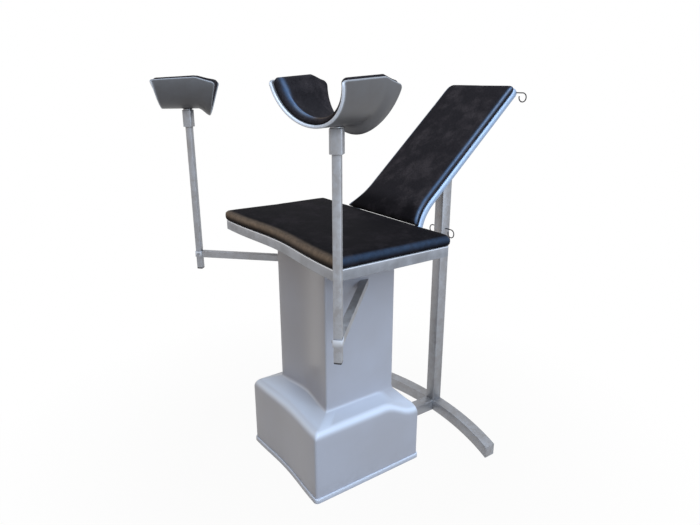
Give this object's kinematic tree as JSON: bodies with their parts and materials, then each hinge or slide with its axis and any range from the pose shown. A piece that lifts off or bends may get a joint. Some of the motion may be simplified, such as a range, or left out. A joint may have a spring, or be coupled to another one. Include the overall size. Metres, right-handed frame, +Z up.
{
  "type": "gynecological chair",
  "caption": "Pedestal gynecological chair with padded seat, tilting backrest on a rear prop, and two height-adjustable leg troughs that swivel on square rods.",
  "frame": {"origin": "on the floor under the axis of the pedestal column", "axes": "+Z up, +Y towards the head end (backrest and rear stand), -Y towards the foot end (leg troughs), +X the sitter's left-hand side"},
  "size_m": [1.1622, 1.0623, 1.2696],
  "materials": {
    "paint": "smooth satin lavender-grey paint",
    "galvanised": "zinc-coated steel tube, matt grey with a faint mottle",
    "steel": "plain steel, semi-matt",
    "frame_steel": "light grey satin steel",
    "shell": "bent steel sheet, grey satin",
    "leather": "near-black grained leather",
    "wood": "plywood",
    "nylon": "black nylon",
    "wire": "dark bent steel wire"
  },
  "bodies": {
    "base": {"pedestal_cover": "paint", "plinth_skirt": "paint", "base_plate": "steel", "inner_column": "steel", "head_plate": "steel", "seat_cross_front": "steel", "seat_cross_rear": "steel", "lock_screw": "steel", "collar_screw_right": "steel", "collar_screw_left": "steel", "hinge_bracket_right": "steel", "hinge_bracket_left": "steel", "hinge_pin_right": "steel", "hinge_pin_left": "steel", "seat_frame": "frame_steel", "seat_board": "wood", "seat_pad": "leather", "arm_right": "galvanised", "arm_left": "galvanised", "collar_right": "galvanised", "collar_left": "galvanised", "connector_bar": "galvanised", "crescent_foot": "galvanised", "foot_cap_right": "galvanised", "foot_cap_left": "galvanised", "rear_post": "galvanised", "post_bush": "nylon", "post_hook_right": "wire", "post_hook_left": "wire"},
    "backrest": {"backrest_pad": "leather", "backrest_rail": "frame_steel", "backrest_board": "wood", "backrest_crossbar_lower": "frame_steel", "backrest_crossbar_upper": "frame_steel", "guide_web": "frame_steel", "guide_cheek_right": "frame_steel", "guide_cheek_left": "frame_steel", "hinge_lug_right": "frame_steel", "hinge_lug_left": "frame_steel", "backrest_hook_right": "wire", "backrest_hook_left": "wire"},
    "prop": {"prop_tube": "galvanised", "prop_glide": "nylon"},
    "leg_right": {"rod_right": "galvanised", "rod_cap_right": "nylon", "sleeve_right": "galvanised"},
    "trough_right": {"spindle_right": "steel", "trough_shell_right": "shell", "trough_pad_right": "leather"},
    "leg_left": {"rod_left": "galvanised", "rod_cap_left": "nylon", "sleeve_left": "galvanised"},
    "trough_left": {"spindle_left": "steel", "trough_shell_left": "shell", "trough_pad_left": "leather"}
  },
  "joints": [
    {"name": "backrest_tilt", "type": "hinge", "parent": "base", "child": "backrest", "pos_m": [0, 0.2, 0.79], "axis": [1, 0, 0], "range_deg": [-9, 12]},
    {"name": "prop_slide", "type": "slide", "parent": "base", "child": "prop", "axis": [0, 0, 1], "range_m": [-0.077, 0.102]},
    {"name": "leg_height_right", "type": "slide", "parent": "base", "child": "leg_right", "axis": [0, 0, 1], "range_m": [-0.25, 0.035]},
    {"name": "trough_swivel_right", "type": "hinge", "parent": "leg_right", "child": "trough_right", "pos_m": [0.442, -0.2815, 1.1658], "axis": [0, 0, 1], "range_deg": [-45, 45]},
    {"name": "leg_height_left", "type": "slide", "parent": "base", "child": "leg_left", "axis": [0, 0, 1], "range_m": [-0.25, 0.035]},
    {"name": "trough_swivel_left", "type": "hinge", "parent": "leg_left", "child": "trough_left", "pos_m": [-0.442, -0.2815, 1.1658], "axis": [0, 0, 1], "range_deg": [-45, 45]}
  ],
  "couplings": [
    {"joint": "prop_slide", "follows": "backrest_tilt", "m_per_rad": 0.4783}
  ]
}
